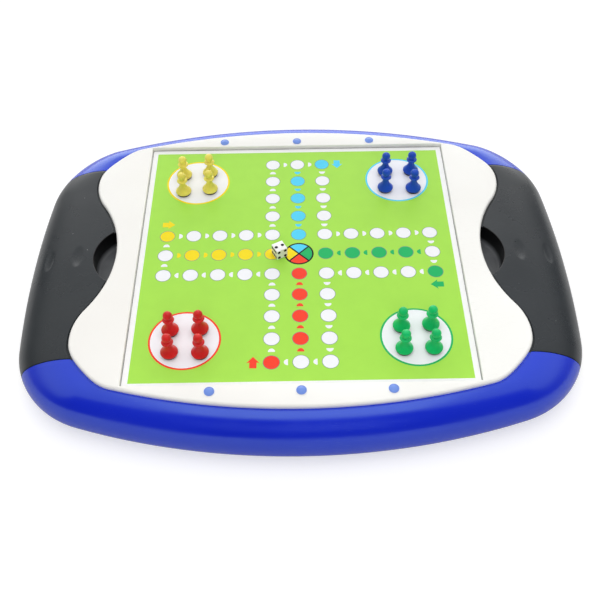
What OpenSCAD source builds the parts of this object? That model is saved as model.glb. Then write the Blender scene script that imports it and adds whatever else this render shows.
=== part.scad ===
// Magnetic ludo board case: a moulded case with two pull-out drawers, a screwed-down
// top plate, a loose board card over a steel sheet, sixteen magnetic pawns and one die.
// X runs left to right, Y from front to back, Z up; the base rests on Z = 0.

/* [Board] */
// Side of the square window that the board card lies in
window_w = 216.4; // [190:0.2:244]
// Gap between card and window, all round when centred
card_gap = 1.2; // [0.6:0.1:2]
// Thickness of the board card
card_t = 0.8; // [0.4:0.1:1.2]
// How far the card lies towards the front of its window
card_forward = 0.9; // [0:0.1:1]
// Margin between the card's edge and its outer row of fields
field_in = 8; // [5:0.5:12]
// Thickness of the steel sheet
steel_t = 0.5; // [0.3:0.1:1]
// How far the steel sheet reaches past the window on each side
steel_lap = 1.6; // [1.2:0.2:2.6]
// How far the steel sheet reaches past the window's corners, where it is clipped
corner_lap = 0.3; // [0.1:0.1:0.6]
// Thickness of the deck under the steel sheet
deck_t = 2; // [1.6:0.2:3]

/* [Case] */
// How far the case shows beyond the plate at each side
side_rim = 39.6; // [32:0.1:50]
// How far the case shows beyond the plate at front and back
front_rim = 18.1; // [15:0.1:26]
// Height of the case rim above the surface it rests on
rim_h = 34; // [31:1:44]
// Radius of the long bow of each side
side_bow_r = 734; // [500:10:1200]
// Radius of the long bow of the front and of the back
front_bow_r = 440; // [380:10:800]
// Radius of the four rounded corners
corner_r = 62; // [50:2:80]
// Level of the widest outline, below the rim's top
waist_drop = 21; // [16:1:22]
// How far the side shoulder rolls in from the widest outline
side_roll = 38.6; // [28:0.1:42]
// How far the front and back shoulder rolls in
front_roll = 18; // [14:1:20]
// How far the bottom edge rolls in under the case
foot_roll = 14; // [6:1:16]
// Wall thickness of the moulded case
wall = 2.4; // [1.6:0.2:3.2]
// Height of the lower shell's lip, where the two shells meet
lip_h = 7; // [6:0.5:10]

/* [Top plate] */
// Width of the white plate beside the window, at its narrow waist
side_band = 15; // [12:0.5:20]
// Width of the plate in front of and behind the window
front_band = 15.9; // [12:0.1:20]
// How far the waist lies inside the lobes
waist_in = 20.8; // [16:0.2:24]
// From the plate's front edge back to the widest point of a lobe
lobe_in = 54.3; // [50:0.1:58]
// Width of the plate between the window's corner and the lobe round it
corner_band = 1.37; // [1:0.01:3]
// How much flatter than a circle each lobe is towards the plate's corner
corner_cut = 2; // [0:0.1:3]
// Thickness of the plate
plate_t = 3; // [2:0.2:4]
// Rounding of the plate's top edge
plate_round = 1.8; // [0.8:0.2:1.9]
// Depth of the recess that the plate sits in
seat_d = 0.8; // [0.4:0.1:1.2]
// Groove between the plate's edge and the recess
seat_gap = 1.2; // [0.6:0.1:2]

/* [Plate pins and screws] */
// Spacing of the pins along the front and the back
pin_pitch = 54.5; // [46:0.5:60]
// Distance from the window's edge to the front and back rows of pins
pin_in = 4.8; // [4.4:0.1:7]
// Diameter of a pin's head
pin_head_d = 6.2; // [5:0.2:8]
// Diameter of a pin's shank
pin_d = 3; // [2.4:0.2:3.6]
// Length of a pin's shank
pin_len = 11; // [8:1:13]
// Diameter of the posts that take pins and screws
post_d = 8; // [6:0.5:9]
// Thread diameter of the screws
screw_d = 2.9; // [2.2:0.1:3.2]
// Head diameter of the screws
screw_head_d = 5.4; // [4.6:0.2:6]
// Length of a screw under its head
screw_len = 9; // [6:1:11]

/* [Drawers] */
// How far a drawer's seams lie inside the window's edges
seam_in = 22.1; // [18:0.1:28]
// Clearance of a drawer at its sides
drawer_gap = 0.6; // [0.3:0.1:1]
// Clearance of a drawer above the floor and under the deck
run_gap = 0.4; // [0.3:0.1:0.8]
// Radius of the thumb cup
cup_r = 28; // [22:1:30]
// How far the cup's centre lies inside the plate's waist
cup_in = 12.9; // [8:1:16]
// Depth of the thumb cup below the rim
cup_d = 14; // [10:1:18]
// Rounding between the cup's wall and floor
cup_round = 5; // [2:1:8]
// Travel of a drawer from shut to its stop
drawer_travel = 60; // [40:1:60]
// Distance from the case's side to the outer of the two finger dents
dent_in = 14.4; // [10:0.1:16]
// Spacing of the two finger dents
dent_pitch = 20; // [16:1:24]
// Length of a finger dent
dent_len = 19; // [14:1:24]
// Width of a finger dent
dent_w = 9; // [6:0.5:12]
// Depth of a finger dent
dent_d = 0.9; // [0.4:0.1:1.4]

/* [Pawns and die] */
// Diameter of a pawn's foot
pawn_d = 11; // [9:0.5:13]
// Height of a pawn with its magnet
pawn_h = 18.5; // [16:0.5:22]
// Diameter of the pawn's collar
collar_d = 7.4; // [6:0.2:9]
// Height of the collar's middle above the board
collar_z = 11.7; // [10:0.1:12.5]
// Diameter of the neck, under and over the collar
neck_d = 3.6; // [2.6:0.2:4.4]
// Diameter of the pawn's head
head_d = 5; // [4:0.2:6]
// Diameter of the magnet disc
magnet_d = 9.8; // [6:0.2:10.5]
// Thickness of the magnet disc
magnet_t = 1.5; // [1:0.1:2.5]
// Spacing of the pawns in a home circle, left to right
pawn_dx = 19; // [16:0.5:22]
// Spacing of the pawns in a home circle, front to back
pawn_dy = 17.8; // [16:0.5:22]
// Edge of the die
die_w = 8; // [6:0.5:10]
// Turn of the die on the board
die_turn = 27.8; // [0:1:90]

/* [Hidden] */
COLOURS = ["yellow", "blue", "red", "green"];
$fn = 64;
eps = 0.01;
past = 5;                               // cutting blocks reach past the outline by this
trim = 0.1;                             // the rim is cut flat just under the form's last ring

// heights
base_t = wall;                          // floor of the lower shell
waist_z = rim_h - waist_drop;           // level of the widest outline
seat_z = rim_h - seat_d;                // underside of the plate
plate_top = seat_z + plate_t;
steel_z = seat_z - steel_t;
deck_z = steel_z - deck_t;              // underside of the deck
card_top = seat_z + card_t;
run_z = base_t + run_gap;               // underside of a drawer
roof_z = deck_z - run_gap;              // top of a drawer under the deck

// plan sizes, from the window outwards
plate_waist = window_w + 2 * side_band;
plate_w = plate_waist + 2 * waist_in;
plate_d = window_w + 2 * front_band;
lobe_y = plate_d / 2 - lobe_in;
corner_gap = [(plate_w - window_w) / 2, window_w / 2 - lobe_y];
lobe_r = (corner_gap * corner_gap - corner_band ^ 2) / (2 * (corner_gap.x - corner_band));
case_w = plate_w + 2 * side_rim;
case_d = plate_d + 2 * front_rim;
seam_y = window_w / 2 - seam_in;        // faces that a drawer slides between
pin_y = window_w / 2 + pin_in;
card_w = window_w - 2 * card_gap;
field = (card_w - 2 * field_in) / 11;   // the track is eleven fields long
home_xy = 4 * field;                    // middle of a home circle
clear = 0.3;                            // free fit of shanks in holes
steel_w = window_w + 2 * steel_lap;
steel_clip = 2 * steel_lap - corner_lap * sqrt(2); // keeps the corners under the plate
pocket_gap = 0.3;
deck_rim = 3;
deck_x = steel_w / 2 + deck_rim;        // ends of the deck
cup_x = plate_waist / 2 - cup_in;       // centre of the thumb cup
cup_rim = 4.3;                          // land between the cup and the grip's inner end
grip_x = cup_x - cup_r - cup_rim;       // inner end of the grip
wall_in = 2;                            // thin walls inside the drawer
drawer_y = seam_y - drawer_gap;
mid_wall = 3;                           // wall between the two drawers
back_gap = 4.5;                         // free space behind a shut drawer
tray_x = mid_wall / 2 + back_gap;       // inner end of a tray
bay_end = grip_x - wall_in;             // outer end of the storage bay
stop_t = 2;                             // stop rib under the deck
stop_play = 0.5;
stop_x = tray_x + wall_in + drawer_travel + stop_play;
stop_drop = 1.8;
bay_wall_z = roof_z - stop_drop - clear; // tray walls pass under the stop rib
lug_y = 50;                             // half length of the lug that meets the stop
stop_past = 6;                          // the rib is longer than the lug by this at each end
tunnel_in = 34;                         // ends of the tunnel walls' feet, clear of the lip
lip_gap = 0.15;
pad_h = 4;                              // pad round each screw head
pad_d = post_d + 3;
cup_skin = 2.2;
bite = 0.1;                             // threads in their pilot holes

// posts for the plate pins and case screws, and for the drawer screws
post_xy = [for (x = [-1, 0, 1], s = [-1, 1]) [x * pin_pitch, s * pin_y]];
grip_mid_x = (cup_x + cup_r + case_w / 2) / 2;
post_in = 10;                           // inner posts, from the grip's inner end
post_back = 8;                          // outer posts, back from the middle of the handle
post_share = 0.72;                      // posts' distance from the middle, as a share of the half width
drawer_post_xy = [for (s = [-1, 1]) for (x = [grip_x + post_in, grip_mid_x - post_back])
                  [x, s * drawer_y * post_share]];

// Outline of the case
// One quarter is three arcs: side bow, corner, front bow. A point is found by the
// direction t that the outline faces there.
half_w = case_w / 2;
half_d = case_d / 2;
bow_c = [half_w - side_bow_r, 0];
front_c = [0, half_d - front_bow_r];
bow_gap = norm(front_c - bow_c);
reach_s = side_bow_r - corner_r;
reach_f = front_bow_r - corner_r;
along = (reach_s ^ 2 - reach_f ^ 2 + bow_gap ^ 2) / (2 * bow_gap);
aside = sqrt(reach_s ^ 2 - along ^ 2);
bow_dir = (front_c - bow_c) / bow_gap;
corner_c = bow_c + along * bow_dir + aside * [-bow_dir.y, bow_dir.x];
t_side = atan2(corner_c.y - bow_c.y, corner_c.x - bow_c.x);
t_front = atan2(corner_c.y - front_c.y, corner_c.x - front_c.x);

function arc_steps(a, b, n) = [for (i = [0:n - 1]) a + (b - a) * i / n];
quarter_t = concat(arc_steps(0, t_side, 2), arc_steps(t_side, t_front, 8),
                   arc_steps(t_front, 90, 3));

function case_point(t, side_in, front_in, grow) =
    let (n = [cos(t), sin(t)],
         inset = side_in * n.x ^ 2 + front_in * n.y ^ 2 - grow,
         c = t < t_side ? bow_c : t < t_front ? corner_c : front_c,
         r = t < t_side ? side_bow_r : t < t_front ? corner_r : front_bow_r)
    c + (r - inset) * n;

// a quarter outline mirrored into the whole ring, anticlockwise
function full_ring(quarter, z) =
    let (q = quarter, n = len(q))
    concat([for (i = [0:n - 1]) [q[i].x, q[i].y, z]],
           [for (i = [n - 2:-1:1]) [-q[i].x, q[i].y, z]],
           [for (i = [0:n - 1]) [-q[i].x, -q[i].y, z]],
           [for (i = [n - 2:-1:1]) [q[i].x, -q[i].y, z]]);

function case_ring(side_in, front_in, grow, z) =
    full_ring(concat([for (t = quarter_t) case_point(t, side_in, front_in, grow)],
                     [case_point(90, side_in, front_in, grow)]), z);

// closed solid through a stack of rings, lowest first
module ring_stack(rings) {
    n = len(rings[0]);
    m = len(rings);
    polyhedron(points = [for (r = rings) each r],
        faces = concat([[for (i = [0:n - 1]) i]],
            [for (k = [0:m - 2], i = [0:n - 1]) let (j = (i + 1) % n)
                [k * n + i, (k + 1) * n + i, (k + 1) * n + j]],
            [for (k = [0:m - 2], i = [0:n - 1]) let (j = (i + 1) % n)
                [k * n + i, (k + 1) * n + j, k * n + j]],
            [[for (i = [n - 1:-1:0]) (m - 1) * n + i]]));
}

// the whole outer form, or the same form shrunk by a wall
roll_power = 2;                         // 2 is a quarter ellipse, less is flatter
module case_form(shrink = 0, steps = 7) {
    low = waist_z - shrink;
    high = waist_drop - shrink;
    rings = concat(
        [for (i = [0:2]) let (a = 90 - 30 * i, roll = foot_roll * (1 - cos(a)))
            case_ring(roll, roll, -shrink, waist_z - low * sin(a))],
        [for (i = [0:steps]) let (a = 90 * i / steps, out = cos(a) ^ (2 / roll_power),
                                  up = sin(a) ^ (2 / roll_power))
            case_ring(side_roll * (1 - out), front_roll * (1 - out), -shrink,
                      waist_z + high * up)]);
    ring_stack(rings);
}

// the bands beyond the seams, where the case shows at front and back
module beyond(y, z0, z1) {
    for (s = [0, 1]) mirror([0, s, 0])
        translate([-half_w - past, y, z0]) cube([case_w + 2 * past, half_d + past - y, z1 - z0]);
}

// the right-hand drawer's block, from x outwards
module grip_zone(x, y, z0, z1) {
    translate([x, -y, z0]) cube([half_w + past - x, 2 * y, z1 - z0]);
}

// Outline of the top plate
// One quarter is a hollow waist arc, a lobe and the bowed front; centres follow
// from the waist, the lobe and the depth.
lobe_c = [plate_w / 2 - lobe_r, lobe_y];
waist_half = plate_waist / 2;
waist_r = ((lobe_c.x - waist_half) ^ 2 + lobe_c.y ^ 2 - lobe_r ^ 2)
          / (2 * (lobe_r + lobe_c.x - waist_half));
waist_c = [waist_half + waist_r, 0];
plate_half = plate_d / 2;
edge_r = (lobe_c.x ^ 2 + (plate_half - lobe_c.y) ^ 2 - lobe_r ^ 2)
         / (2 * (plate_half - lobe_c.y - lobe_r));
edge_c = [0, plate_half - edge_r];
t_waist = atan2(lobe_c.y, waist_c.x - lobe_c.x);
t_edge = atan2(lobe_c.y - edge_c.y, lobe_c.x - edge_c.x);

// the lobe's radius where it faces t, least halfway round to the front edge
cut_from = 8;
function lobe_reach(t, grow) = lobe_r + grow
    - corner_cut * (t > cut_from ? sin(180 * (t - cut_from) / (t_edge - cut_from)) ^ 2 : 0);

function plate_quarter(grow) = concat(
    [for (t = arc_steps(0, t_waist, 8)) waist_c + (waist_r - grow) * [-cos(t), sin(t)]],
    [for (t = arc_steps(-t_waist, t_edge, 12)) lobe_c + lobe_reach(t, grow) * [cos(t), sin(t)]],
    [for (t = arc_steps(t_edge, 90, 4)) edge_c + (edge_r + grow) * [cos(t), sin(t)]],
    [[0, plate_half + grow]]);

module plate_prism(grow, z0, z1) {
    translate([0, 0, z0]) linear_extrude(z1 - z0)
        polygon([for (p = full_ring(plate_quarter(grow), 0)) [p.x, p.y]]);
}

module square_block(w, z0, z1) {
    translate([-w / 2, -w / 2, z0]) cube([w, w, z1 - z0]);
}

// a square with clipped corners
module clipped_block(w, clip, z0, z1) {
    a = w / 2;
    b = a - clip;
    translate([0, 0, z0]) linear_extrude(z1 - z0)
        polygon([[a, -b], [a, b], [b, a], [-b, a], [-a, b], [-a, -b], [-b, -a], [b, -a]]);
}

// Fasteners
head_h = 2;
slot_w = 0.8;
slot_len = 0.64 * screw_head_d;
slot_d = 1.1;
head_sink = 2.6;                        // depth of the sunk seat for a screw head
head_rise = 0.6;                        // the heads sit this far up inside the pads

module screw(len) {
    difference() {
        union() {
            cylinder(d = screw_head_d, h = head_h);
            translate([0, 0, head_h]) cylinder(d = screw_d, h = len);
        }
        for (a = [0, 90]) rotate(a)
            translate([-slot_len / 2, -slot_w / 2, -eps]) cube([slot_len, slot_w, slot_d + eps]);
    }
}

// pad with a sunk seat for a screw head, cut from below
module pad_holes(z0) {
    translate([0, 0, z0 - eps]) cylinder(d = screw_head_d + 2 * clear, h = head_sink + eps);
    translate([0, 0, z0]) cylinder(d = screw_d + clear, h = pad_h + base_t);
}

// Case
module case_top() {
    color([0.10, 0.18, 0.78]) difference() {
        union() {
            difference() {
                intersection() {
                    case_form();
                    beyond(seam_y, lip_h + lip_gap, rim_h - trim);
                }
                intersection() {
                    case_form(shrink = wall, steps = 4);
                    beyond(seam_y + wall, -1, deck_z);
                }
                plate_prism(seat_gap, seat_z, rim_h + 1);
            }
            // feet of the tunnel walls, below the lip
            for (s = [0, 1]) mirror([0, s, 0])
                translate([tunnel_in - half_w, seam_y, base_t])
                    cube([case_w - 2 * tunnel_in, wall, lip_h + 1 - base_t]);
            // deck over the drawers
            translate([-deck_x, -seam_y - eps, deck_z])
                cube([2 * deck_x, 2 * (seam_y + eps), seat_z - deck_z]);
            // wall between the drawers
            translate([-mid_wall / 2, -seam_y - eps, base_t])
                cube([mid_wall, 2 * (seam_y + eps), deck_z + eps - base_t]);
            // stop ribs
            for (s = [0, 1]) mirror([s, 0, 0])
                translate([stop_x, -lug_y - stop_past, deck_z - stop_drop])
                    cube([stop_t, 2 * (lug_y + stop_past), stop_drop + eps]);
            // posts for pins and screws
            for (p = post_xy) translate([p.x, p.y, base_t + pad_h])
                cylinder(d = post_d, h = deck_z + eps - base_t - pad_h);
        }
        clipped_block(steel_w + 2 * pocket_gap, steel_clip + pocket_gap * (2 - sqrt(2)),
                      steel_z, seat_z + 1);
        for (p = post_xy) translate([p.x, p.y, 0]) {
            translate([0, 0, plate_top - pin_len - 1]) cylinder(d = pin_d + bite, h = pin_len + 2);
            translate([0, 0, base_t]) cylinder(d = screw_d + bite, h = pad_h + screw_len);
        }
    }
}

module case_base() {
    color([0.10, 0.18, 0.78]) difference() {
        union() {
            intersection() {
                case_form();
                translate([-half_w - past, -half_d - past, 0])
                    cube([case_w + 2 * past, case_d + 2 * past, base_t]);
            }
            difference() {
                intersection() {
                    case_form();
                    beyond(seam_y, base_t - eps, lip_h);
                }
                intersection() {
                    case_form(shrink = wall, steps = 4);
                    beyond(seam_y - 1, base_t - 2 * eps, lip_h + 1);
                }
            }
            for (p = post_xy) translate([p.x, p.y, base_t - eps])
                cylinder(d = pad_d, h = pad_h + eps);
        }
        for (p = post_xy) translate([p.x, p.y, 0]) pad_holes(0);
    }
}

module case_screws() {
    color([0.72, 0.72, 0.74])
        for (p = post_xy) translate([p.x, p.y, head_rise]) screw(screw_len);
}

module top_plate() {
    straight = plate_t - plate_round;
    color([0.97, 0.97, 0.95]) difference() {
        ring_stack(concat(
            [full_ring(plate_quarter(0), seat_z)],
            [for (i = [0:3]) let (a = 30 * i)
                full_ring(plate_quarter(-plate_round * (1 - cos(a))),
                          seat_z + straight + plate_round * sin(a))]));
        square_block(window_w, seat_z - 1, plate_top + 1);
        for (p = post_xy) translate([p.x, p.y, seat_z - 1])
            cylinder(d = pin_d + clear, h = plate_t + 2);
    }
}

module plate_pins() {
    cap_h = 0.6;
    dome_h = 0.7;
    dome_r = ((pin_head_d / 2) ^ 2 + dome_h ^ 2) / (2 * dome_h);
    color([0.45, 0.56, 0.90])
        for (p = post_xy) translate([p.x, p.y, plate_top]) {
            cylinder(d = pin_head_d, h = cap_h);
            intersection() {
                translate([0, 0, cap_h + dome_h - dome_r]) sphere(r = dome_r);
                translate([0, 0, cap_h - eps]) cylinder(d = pin_head_d, h = dome_h + 1);
            }
            translate([0, 0, -pin_len]) cylinder(d = pin_d, h = pin_len + eps);
        }
}

module steel_sheet() {
    color([0.6, 0.62, 0.64]) clipped_block(steel_w, steel_clip, steel_z, seat_z);
}

module board_card() {
    color([0.70, 0.91, 0.39]) translate([0, -card_forward, 0])
        square_block(card_w, seat_z, card_top);
}

// Drawers, drawn on the right
deck_end = deck_x + drawer_gap;         // the grip steps down under the deck here
plate_low = seat_z - run_gap;           // top of the grip under the plate

module drawer_tray() {
    difference() {
        union() {
            // floor, and the lip that carries the cover
            intersection() {
                case_form();
                grip_zone(tray_x, drawer_y, run_z, run_z + wall_in);
            }
            difference() {
                intersection() {
                    case_form();
                    grip_zone(grip_x, drawer_y, run_z, lip_h);
                }
                intersection() {
                    case_form(shrink = wall, steps = 4);
                    grip_zone(grip_x + wall_in, drawer_y - wall_in, run_z - 1, lip_h + 1);
                }
            }
            // walls of the storage bay
            difference() {
                translate([tray_x, -drawer_y, run_z])
                    cube([grip_x - tray_x, 2 * drawer_y, bay_wall_z - run_z]);
                translate([tray_x + wall_in, wall_in - drawer_y, run_z + wall_in])
                    cube([bay_end - tray_x - wall_in, 2 * (drawer_y - wall_in), rim_h]);
            }
            // lug that meets the stop rib
            translate([tray_x, -lug_y, bay_wall_z - eps])
                cube([wall_in, 2 * lug_y, roof_z - bay_wall_z + eps]);
            for (p = drawer_post_xy) translate([p.x, p.y, run_z + wall_in - eps])
                cylinder(d = pad_d, h = pad_h + eps);
        }
        for (p = drawer_post_xy) translate([p.x, p.y, 0]) pad_holes(run_z);
    }
}

// the thumb cup's hollow, with a rounded floor edge
module cup_hollow() {
    floor_z = rim_h - cup_d;
    flat_r = cup_r - cup_round;
    translate([cup_x, 0, floor_z]) rotate_extrude()
        polygon(concat([[0, 0]],
            [for (i = [0:8]) let (a = 90 * i / 8)
                [flat_r + cup_round * sin(a), cup_round * (1 - cos(a))]],
            [[cup_r, cup_d + 1], [0, cup_d + 1]]));
}

// a shallow spindle pressed into the side shoulder, x from the middle
module finger_dent(x) {
    out = 1 - (half_w - x) / side_roll;
    up = (1 - out ^ roll_power) ^ (1 / roll_power);
    face = [out ^ (roll_power - 1) / side_roll, 0, up ^ (roll_power - 1) / waist_drop];
    n = face / norm(face);
    mid_r = ((dent_w / 2) ^ 2 + dent_d ^ 2) / (2 * dent_d);
    bow_r = ((dent_len / 2) ^ 2 + dent_d ^ 2) / (2 * dent_d);
    translate([x, 0, waist_z + waist_drop * up] + (mid_r - dent_d) * n)
        rotate([90, 0, 0]) rotate_extrude() intersection() {
            translate([mid_r - bow_r, 0]) circle(r = bow_r, $fn = 180);
            translate([0, -bow_r]) square([bow_r, 2 * bow_r]);
        }
}

module grip_cover() {
    difference() {
        union() {
            difference() {
                intersection() {
                    case_form();
                    grip_zone(grip_x, drawer_y, lip_h + lip_gap, rim_h - trim);
                }
                intersection() {
                    case_form(shrink = wall, steps = 4);
                    grip_zone(deck_end + wall_in, drawer_y - wall_in, -1, plate_low - wall_in);
                }
                translate([grip_x + wall_in, wall_in - drawer_y, -1])
                    cube([deck_end - grip_x, 2 * (drawer_y - wall_in), roof_z - wall_in + 1]);
            }
            // skin round the thumb cup
            translate([cup_x, 0, rim_h - cup_d - cup_skin])
                cylinder(r = cup_r + cup_skin, h = cup_d + cup_skin - 1);
            // screw posts
            intersection() {
                case_form(shrink = wall / 2, steps = 4);
                for (p = drawer_post_xy) translate([p.x, p.y, run_z + wall_in + pad_h + lip_gap])
                    cylinder(d = post_d, h = rim_h);
            }
        }
        plate_prism(seat_gap, plate_low, rim_h + 1);
        translate([grip_x - 1, -seam_y, roof_z]) cube([deck_end - grip_x + 1, 2 * seam_y, rim_h]);
        cup_hollow();
        for (x = [half_w - dent_in, half_w - dent_in - dent_pitch]) finger_dent(x);
        for (p = drawer_post_xy) translate([p.x, p.y, run_z + wall_in])
            cylinder(d = screw_d + bite, h = pad_h + screw_len);
    }
}

module drawer_screws() {
    for (p = drawer_post_xy) translate([p.x, p.y, run_z + head_rise]) screw(screw_len);
}

module on_side(name) {
    mirror([name == "left" ? 1 : 0, 0, 0]) children();
}

module tray_at(side) { color([0.12, 0.13, 0.14]) on_side(side) drawer_tray(); }
module cover_at(side) { color([0.16, 0.17, 0.18]) on_side(side) grip_cover(); }
module drawer_screws_at(side) { color([0.72, 0.72, 0.74]) on_side(side) drawer_screws(); }

// Pawns and die
module pawn_body() {
    foot_h = 1;
    skirt_top = collar_z - 0.9;
    foot_top = magnet_t + foot_h;
    head_c = pawn_h - head_d / 2;
    neck_r = neck_d / 2;
    skirt_n = 9;
    head_from = -acos(min(neck_r, head_d / 2 - 0.2) / (head_d / 2));
    rotate_extrude($fn = 48) polygon(concat(
        [[0, magnet_t], [pawn_d / 2 - 0.3, magnet_t], [pawn_d / 2, magnet_t + 0.3],
         [pawn_d / 2, foot_top]],
        [for (i = [1:skirt_n]) let (s = i / skirt_n)
            [neck_r + (pawn_d / 2 - neck_r) * (1 - s) ^ 2.1, foot_top + (skirt_top - foot_top) * s]],
        [[collar_d / 2 - 0.4, collar_z - 0.6], [collar_d / 2, collar_z - 0.3],
         [collar_d / 2, collar_z + 0.3], [collar_d / 2 - 0.4, collar_z + 0.6],
         [neck_r - 0.1, collar_z + 1.1]],
        [for (i = [0:8]) let (a = head_from + (90 - head_from) * i / 8)
            [i == 8 ? 0 : head_d / 2 * cos(a), head_c + head_d / 2 * sin(a)]]));
}

module magnet_disc() {
    edge = 0.2;
    rotate_extrude($fn = 48) polygon([[0, 0], [magnet_d / 2 - edge, 0], [magnet_d / 2, edge],
        [magnet_d / 2, magnet_t - edge], [magnet_d / 2 - edge, magnet_t], [0, magnet_t]]);
}

die_x = -13;

// home circles in the order of COLOURS, and the small shift of each pawn from its square
HOMES = [[-1, 1], [1, 1], [-1, -1], [1, -1]];
PAWN_RGB = [[0.92, 0.80, 0.20], [0.14, 0.28, 0.68], [0.85, 0.14, 0.14], [0.08, 0.80, 0.45]];
NUDGE = [[[-1, -2], [-1.2, 0.2], [-0.4, -1.5], [-0.5, 0.5]],
         [[1.5, -1.1], [1.2, -0.6], [0.3, -0.9], [1.3, -1.9]],
         [[0.2, -1.8], [-0.2, -1.2], [1, -1.3], [0.9, -1.7]],
         [[0.7, -1.4], [0.1, -0.5], [0.9, -1.1], [0.1, -0.9]]];

function pawn_place(c, i) =
    let (col = i % 2, row = floor(i / 2))
    [HOMES[c].x * home_xy + (col - 0.5) * pawn_dx + NUDGE[c][i].x,
     HOMES[c].y * home_xy - (row - 0.5) * pawn_dy + NUDGE[c][i].y - card_forward, card_top];

module pawn(c, i) {
    color(PAWN_RGB[c]) translate(pawn_place(c, i)) pawn_body();
}

module pawn_magnet(c, i) {
    color([0.10, 0.10, 0.11]) translate(pawn_place(c, i)) magnet_disc();
}

module pips(n) {
    p = die_w * 0.25;
    pip_r = die_w * 0.13;
    spots = n == 1 ? [[0, 0]] : n == 2 ? [[-p, p], [p, -p]] : n == 3 ? [[-p, p], [0, 0], [p, -p]]
        : n == 4 ? [for (x = [-p, p], y = [-p, p]) [x, y]]
        : n == 5 ? concat([[0, 0]], [for (x = [-p, p], y = [-p, p]) [x, y]])
        : [for (x = [-p, p], y = [-p, 0, p]) [x, y]];
    for (s = spots) translate([s.x, s.y, die_w / 2 + pip_r * 0.6]) sphere(r = pip_r, $fn = 24);
}

module die() {
    color([0.96, 0.96, 0.95]) translate([die_x, -card_forward - 0.4, card_top + die_w / 2])
        rotate(die_turn) difference() {
            intersection() {
                cube(die_w, center = true);
                sphere(r = die_w * 0.72);
            }
            pips(2);
            rotate([180, 0, 0]) pips(5);
            rotate([90, 0, 0]) pips(4);
            rotate([-90, 0, 0]) pips(3);
            rotate([0, -90, 0]) pips(6);
            rotate([0, 90, 0]) pips(1);
        }
}

case_top();
case_base();
case_screws();
top_plate();
plate_pins();
steel_sheet();
board_card();
die();
tray_at("left");  // left_drawer_tray
tray_at("right");  // right_drawer_tray
cover_at("left");  // left_grip_cover
cover_at("right");  // right_grip_cover
drawer_screws_at("left");  // left_drawer_screws
drawer_screws_at("right");  // right_drawer_screws
for (c = [0:3], i = [0:3]) {
    pawn(c, i);
    pawn_magnet(c, i);
}
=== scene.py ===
# Magnetic ludo board case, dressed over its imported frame. Sizes here are in millimetres,
# in the frame's own axes, and MM turns them into metres.
from math import asin, atan2, cos, degrees, hypot, radians, sin, sqrt

import bmesh
import bpy
from mathutils import Matrix, Vector


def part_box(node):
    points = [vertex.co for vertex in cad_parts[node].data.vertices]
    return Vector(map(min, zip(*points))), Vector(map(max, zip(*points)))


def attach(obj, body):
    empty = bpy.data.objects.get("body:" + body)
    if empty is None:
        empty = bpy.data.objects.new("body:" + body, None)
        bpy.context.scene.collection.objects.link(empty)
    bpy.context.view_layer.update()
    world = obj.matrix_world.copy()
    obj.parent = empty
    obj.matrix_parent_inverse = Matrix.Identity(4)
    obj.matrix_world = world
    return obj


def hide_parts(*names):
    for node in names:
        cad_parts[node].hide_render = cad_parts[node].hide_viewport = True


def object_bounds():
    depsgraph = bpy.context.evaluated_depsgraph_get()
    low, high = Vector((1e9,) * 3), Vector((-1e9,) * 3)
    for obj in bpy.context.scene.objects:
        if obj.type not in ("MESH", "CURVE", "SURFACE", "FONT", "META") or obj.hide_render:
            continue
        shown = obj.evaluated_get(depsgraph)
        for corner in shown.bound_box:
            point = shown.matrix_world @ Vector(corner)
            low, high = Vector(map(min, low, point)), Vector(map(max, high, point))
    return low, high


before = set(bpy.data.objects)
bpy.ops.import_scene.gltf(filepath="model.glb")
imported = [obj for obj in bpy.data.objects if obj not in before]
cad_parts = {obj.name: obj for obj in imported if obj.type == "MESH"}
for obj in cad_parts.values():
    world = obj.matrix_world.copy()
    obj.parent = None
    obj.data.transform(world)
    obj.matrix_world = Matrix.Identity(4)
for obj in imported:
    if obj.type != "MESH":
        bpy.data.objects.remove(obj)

cad_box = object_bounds()
MM = 0.001


def node_box(name):
    """lowest and highest corner of a CAD node in millimetres"""
    low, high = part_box(name)
    return [v / MM for v in low], [v / MM for v in high]


# Case
half_w = cad_box[1][0] / MM
half_d = cad_box[1][1] / MM
rim_h = 34
side_bow_r = 734
front_bow_r = 440
corner_r = 62
waist_drop = 21
waist_z = rim_h - waist_drop
side_roll = 38.6
front_roll = 18
foot_roll = 14
roll_power = 2
wall = 2.4
lip_z = 7
lip_gap = 0.15

# Top plate, window and board card
card_low, card_high = node_box("board_card")
card_w = card_high[0] - card_low[0]
card_y = (card_high[1] + card_low[1]) / 2
card_top = card_high[2]
window_gap = 1.2
window_w = card_w + 2 * window_gap
plate_low, plate_high = node_box("top_plate")
plate_half_w = plate_high[0]
plate_half_d = plate_high[1]
seat_z = plate_low[2]
plate_top = plate_high[2]
plate_round = 1.8
waist_band = 15
waist_half = window_w / 2 + waist_band
lobe_in = 54.3
lobe_y = plate_half_d - lobe_in
corner_gap = plate_half_w - window_w / 2, window_w / 2 - lobe_y
corner_band = 1.37
lobe_r = (corner_gap[0] ** 2 + corner_gap[1] ** 2 - corner_band ** 2) / (2 * (corner_gap[0] - corner_band))
corner_cut = 2
cut_from = 8
groove = 1.2
deck_t = 2.5
deck_z = seat_z - deck_t
sheet_half = node_box("steel_sheet")[1][0]
deck_rim = 3
deck_x = sheet_half + deck_rim
corner_lap = 0.3
pocket_gap = 0.3
tunnel_in = 34

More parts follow.
